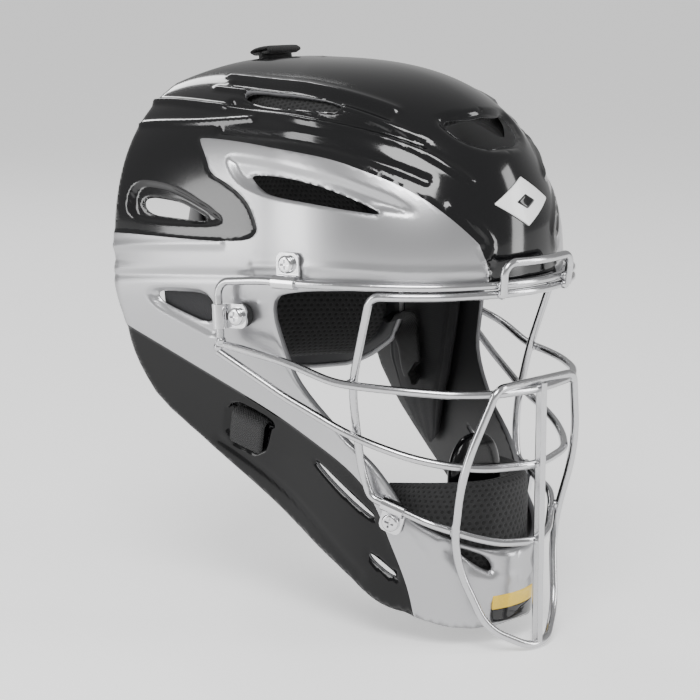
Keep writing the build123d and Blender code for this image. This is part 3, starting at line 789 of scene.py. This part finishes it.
rows, cols = 80, 110
t, s = np.meshgrid(np.linspace(-1, 1, rows), np.linspace(-1, 1, cols), indexing="ij")
upright_ribs = 0.9 * np.exp(-(((np.abs(s) - 0.42) / 0.035) ** 2))
cross_rib = 0.9 * np.exp(-(((t - 0.1) / 0.03) ** 2)) * (np.abs(s) < 0.9)
ribs = upright_ribs + cross_rib
rim = np.clip((1 - np.maximum(np.abs(s), np.abs(t))) / 0.03, 0, 1) ** 0.5
outer = plate_point(s, t, 1.5 - 1.5 * rim)
LEVEL = np.array([1, 1, 0])
from_axis = LEVEL * (outer / np.linalg.norm(outer * LEVEL, axis=-1, keepdims=True))
outer = outer - from_axis * (ribs * rim)[..., None]
plate = closed_grid("back_plate_shell", outer, plate_point(s, t, 1.5 + 1.5 * rim), PLATE_BLACK,
                    (160, PLATE_TALL))
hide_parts("back_plate")
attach(plate, "back_plate")

s, t, profile = disc(70, 90, 0.25)
puff = 1 + 0.08 * np.cos(s * 1.5)
for at in (-0.45, 0.45):
    puff -= 0.25 * np.exp(-(((s - at) / 0.03) ** 2))
back = plate_point(s, t, 3.7 + 4.3 * (1 - profile), 6.5)
face = plate_point(s, t, 3.7 + 4.3 * (1 + profile * puff), 6.5)
plate_pad = closed_grid("back_plate_pad_cloth", back, face, MESH_CLOTH, (150, 122))
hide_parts("back_plate_pad")
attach(plate_pad, "back_plate")

edge_line = np.concatenate([
    plate_point(np.full(60, 1.0), np.linspace(-1, 1, 60), 3.4, 1.2),
    plate_point(np.linspace(1, -1, 50)[1:], np.full(49, 1.0), 3.4, 1.2),
    plate_point(np.full(59, -1.0), np.linspace(1, -1, 60)[1:], 3.4, 1.2),
    plate_point(np.linspace(-1, 1, 90)[1:-1], np.full(88, -1.0), 3.4, 1.2),
])


def tube(name, line, radius, mat, closed=False):
    curve = bpy.data.curves.new(name, "CURVE")
    curve.dimensions = "3D"
    curve.bevel_depth = radius * MM
    curve.bevel_resolution = 4
    curve.use_fill_caps = True
    spline = curve.splines.new("POLY")
    spline.points.add(len(line) - 1)
    for point, p in zip(spline.points, line):
        point.co = (*(np.asarray(p) * MM), 1)
    spline.use_cyclic_u = closed
    obj = bpy.data.objects.new(name, curve)
    bpy.context.scene.collection.objects.link(obj)
    curve.materials.append(mat)
    return obj


edging = tube("back_plate_rim", edge_line, 1.3, PLATE_GREY, True)
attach(edging, "back_plate")

# ------------------------------------------------------------------ chin cup
rows, cols = 40, 60
CUP_CENTRE, CUP_HALF = (0, -87.7, -54), (18, 4.3, 24)


def power(c, e):
    return np.sign(c) * np.abs(c) ** e


lat, lon = np.meshgrid(np.linspace(-math.pi / 2, math.pi / 2, rows),
                       np.linspace(0, 2 * math.pi, cols, endpoint=False), indexing="ij")
ring = power(np.cos(lat), 0.35)
cup = np.stack([CUP_HALF[0] * ring * power(np.cos(lon), 0.85),
                CUP_CENTRE[1] + CUP_HALF[1] * power(np.sin(lat), 0.75),
                CUP_CENTRE[2] + CUP_HALF[2] * ring * power(np.sin(lon), 0.85)], -1)
faces = [(i * cols + j, i * cols + (j + 1) % cols, (i + 1) * cols + (j + 1) % cols, (i + 1) * cols + j)
         for i in range(rows - 1) for j in range(cols)]
chin_cup = mesh_object("chin_cup_moulding", cup.reshape(-1, 3), faces, SATIN_BLACK)
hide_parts("chin_cup")
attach(chin_cup, "helmet")

# ------------------------------------------------------------------ metalwork
LOOKS = {"clip": CHROME, "cage_screws": CHROME, "tee_nuts": STEEL, "rubber_spacers": RUBBER}
for name, node in NODES.items():
    if node.hide_render:
        continue
    look = next((mat for key, mat in LOOKS.items() if key in name), NICKEL)
    node.data.materials.clear()
    node.data.materials.append(look)
    if "clip" in name:
        soften = node.modifiers.new("soft_edges", "BEVEL")
        soften.width = 0.00025
        soften.segments = 2
        soften.limit_method = "ANGLE"


def raised(name, outline, height_mm, mat, dome_mm=0.05):
    """A small raised shape on the front of the shell, from its (x, z) outline in millimetres."""
    p = spaced(outline, True, 1.2)
    centre, count = p.mean(0), len(p)
    steps = ((1.0, -0.8), (1.0, height_mm * 0.6), (0.95, height_mm), (0.6, height_mm + dome_mm * 0.6),
             (0.3, height_mm + dome_mm * 0.9))
    verts, faces = [], []
    for scale, rise in steps:
        q = ahead(centre + (p - centre) * scale)
        verts.append(q + normals(q) * rise)
    middle = ahead(centre[None])
    verts.append(middle + normals(middle) * (height_mm + dome_mm))
    last = (len(steps) - 1) * count
    for k in range(0, last, count):
        for j in range(count):
            after = (j + 1) % count
            faces.append((k + j, k + after, k + count + after, k + count + j))
    for j in range(count):
        faces.append((last + j, last + (j + 1) % count, last + count))
    faces.append(tuple(range(count))[::-1])
    obj = mesh_object(name, np.concatenate(verts), faces, mat)
    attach(obj, "helmet")
    return obj


LABEL_HALF = 15
raised("brow_mark", [(0, 100), (-19, 88.5), (0, 77), (19, 88.5)], 0.2, MARK)
raised("brow_mark_core", [(0, 92), (-6.5, 88.5), (0, 85), (6.5, 88.5)], 0.5, GLOSS_BLACK)
for name, top, bottom, mat in (("chin_label_top", -105.5, -112.6, YELLOW),
                               ("chin_label_bottom", -112.8, -119.5, GLOSS_BLACK)):
    bar = [(-LABEL_HALF, top), (LABEL_HALF, top), (LABEL_HALF, bottom), (-LABEL_HALF, bottom)]
    raised(name, bar, 0.15, mat)

# weld beads where the wires cross
WELDS = [(-90.2, -0.4, 17.3), (-23.4, -124.4, 50.8), (-67.8, -68.1, 2.2), (-38, -109.3, -69.9),
         (-23.2, -124.3, 46.8),
         (0, -129.6, -77), (-89.7, 2.4, 13.6), (-29, -126, -0.7), (0, -129.4, -1), (0, -129.4, -38.4)]
BEAD = 0.0024
for x, y, z in WELDS:
    for m in ({1, -1} if x else {1}):
        spot = (x * m * MM, y * MM, z * MM)
        bpy.ops.mesh.primitive_uv_sphere_add(segments=24, ring_count=14, radius=1, location=spot)
        bead = bpy.context.object
        bead.name = "weld_bead"
        bead.scale = (BEAD, BEAD, BEAD)
        bead.data.materials.append(NICKEL)
        bead.data.shade_smooth()
        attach(bead, "helmet")

# ------------------------------------------------------------------ stage, light and camera
FLOOR_Z = -0.1315
bpy.ops.mesh.primitive_plane_add(size=80, location=(0, 0, FLOOR_Z))
floor = bpy.context.object
floor.name = "floor"
floor.data.materials.append(material("floor", (0.86, 0.86, 0.86), 0.6, 0, 0, (40, 0.02), None, 0.01))
shine = floor.data.materials[0].node_tree.nodes["Principled BSDF"]
shine.inputs["Emission Color"].default_value = (1, 1, 1, 1)
shine.inputs["Emission Strength"].default_value = 0.55

world = bpy.data.worlds.new("studio")
bpy.context.scene.world = world
world.use_nodes = True
world.node_tree.nodes["Background"].inputs["Color"].default_value = (1, 1, 1, 1)
world.node_tree.nodes["Background"].inputs["Strength"].default_value = 0.45


def softbox(name, location, size, power, target=(0, 0, 0.02)):
    lamp = bpy.data.lights.new(name, "AREA")
    lamp.shape = "RECTANGLE"
    lamp.size, lamp.size_y = size
    lamp.energy = power
    obj = bpy.data.objects.new(name, lamp)
    bpy.context.scene.collection.objects.link(obj)
    obj.location = location
    obj.rotation_euler = (Vector(target) - Vector(location)).to_track_quat("-Z", "Y").to_euler()


softbox("key", (-0.9, -0.7, 1.3), (0.8, 0.8), 30)
softbox("front", (0.9, -1.3, 0.4), (0.35, 1.3), 12)
softbox("side", (-1.5, 0.7, 0.3), (0.35, 1.3), 12)
softbox("back", (0.5, 1.4, 1.3), (0.25, 1.2), 9)

camera_data = bpy.data.cameras.new("camera")
camera_data.sensor_width = 36
camera_data.lens = 102.86
camera = bpy.data.objects.new("camera", camera_data)
bpy.context.scene.collection.objects.link(camera)
elevation, turn, away = math.radians(11), math.radians(-45), 1.0526
level = math.cos(elevation) * away
camera.location = (math.sin(turn) * level, -math.cos(turn) * level, math.sin(elevation) * away)
camera.rotation_euler = (-camera.location).to_track_quat("-Z", "Y").to_euler()
bpy.context.scene.camera = camera
